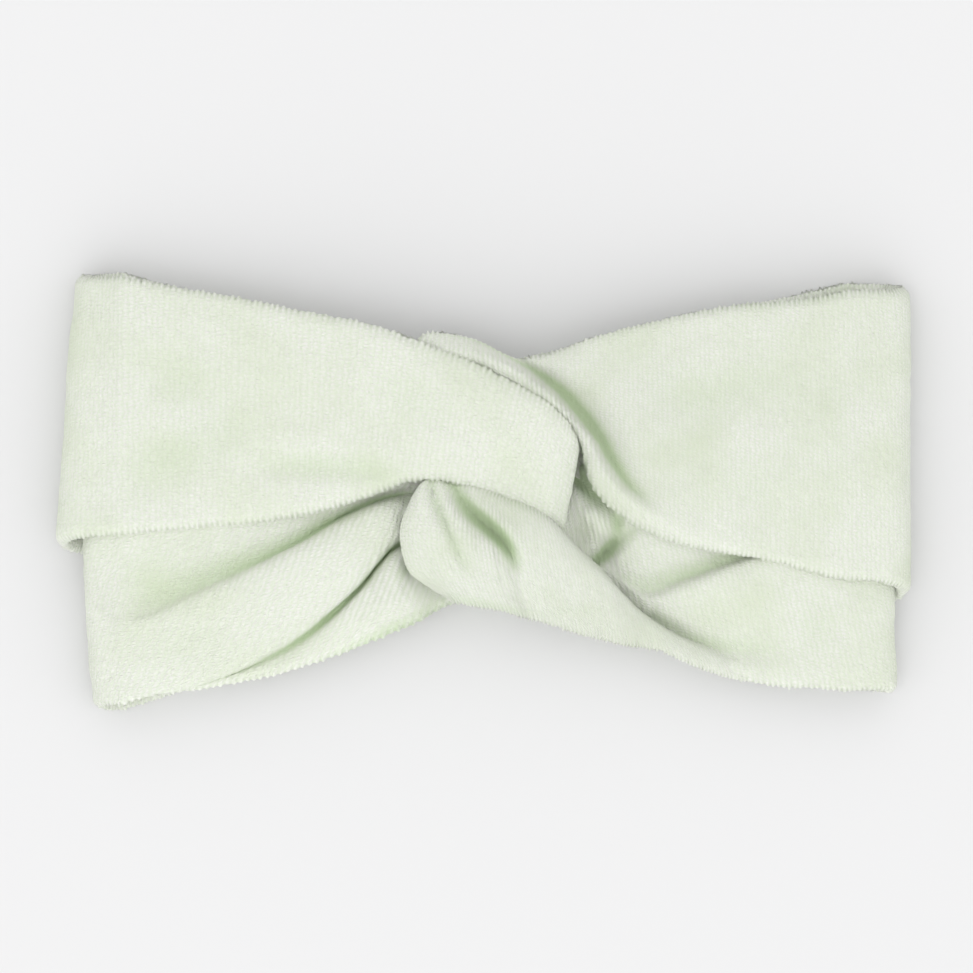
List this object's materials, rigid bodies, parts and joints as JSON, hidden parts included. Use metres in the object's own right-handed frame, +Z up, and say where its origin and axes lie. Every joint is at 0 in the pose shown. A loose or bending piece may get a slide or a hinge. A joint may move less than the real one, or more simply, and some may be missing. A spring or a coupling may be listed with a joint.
{
  "type": "knotted headband",
  "caption": "Soft terry headband lying flat, of wide tubes hooked through each other in a twist knot at the front and sewn together at the back.",
  "frame": {"origin": "under the middle of the headband, on the surface it rests on", "axes": "+X along the band towards its right side fold, +Y towards the band's upper edge, +Z up out of the knot"},
  "size_m": [0.188, 0.096, 0.023],
  "materials": {
    "terry": "pale mint knitted terry with fine wales",
    "seam_allowance": "folded terry edge, overlocked",
    "thread": "matte sewing thread"
  },
  "bodies": {
    "back_seam": {"back_seam_ridge": "terry", "back_seam_stitches": "thread"},
    "back_left": {"left_upper_arm_back": "terry", "left_upper_seam_back": "seam_allowance", "left_lower_arm_back": "terry", "left_lower_seam_back": "seam_allowance"},
    "front_left": {"left_upper_arm_front": "terry", "left_upper_seam_front": "seam_allowance", "left_lower_arm_front": "terry", "left_lower_seam_front": "seam_allowance"},
    "knot": {"left_loop_turn": "terry", "right_loop_turn": "terry"},
    "front_right": {"right_upper_arm_front": "terry", "right_upper_seam_front": "seam_allowance", "right_lower_arm_front": "terry", "right_lower_seam_front": "seam_allowance"},
    "back_right": {"right_upper_arm_back": "terry", "right_upper_seam_back": "seam_allowance", "right_lower_arm_back": "terry", "right_lower_seam_back": "seam_allowance"}
  },
  "joints": [
    {"name": "seam_left_bend", "type": "hinge", "parent": "back_seam", "child": "back_left", "pos_m": [-0.004, 0, 0.0072], "axis": [0, 1, 0], "range_deg": [0, 38.5]},
    {"name": "left_side_fold", "type": "hinge", "parent": "back_left", "child": "front_left", "pos_m": [-0.0915, 0, 0.0072], "axis": [0, -1, 0], "range_deg": [0, 83]},
    {"name": "knot_left_bend", "type": "hinge", "parent": "front_left", "child": "knot", "pos_m": [-0.028, 0, 0.0072], "axis": [0, 1, 0], "range_deg": [0, 45]},
    {"name": "knot_right_bend", "type": "hinge", "parent": "knot", "child": "front_right", "pos_m": [0.028, 0, 0.0072], "axis": [0, 1, 0], "range_deg": [0, 45]},
    {"name": "right_side_fold", "type": "hinge", "parent": "front_right", "child": "back_right", "pos_m": [0.0915, 0, 0.0072], "axis": [0, -1, 0], "range_deg": [0, 83]}
  ],
  "couplings": [
    {"joint": "seam_left_bend", "follows": "left_side_fold", "ratio": 0.4582},
    {"joint": "knot_left_bend", "follows": "left_side_fold", "ratio": 0.5418},
    {"joint": "knot_right_bend", "follows": "left_side_fold", "ratio": 0.5418},
    {"joint": "right_side_fold", "follows": "left_side_fold", "ratio": 1}
  ]
}
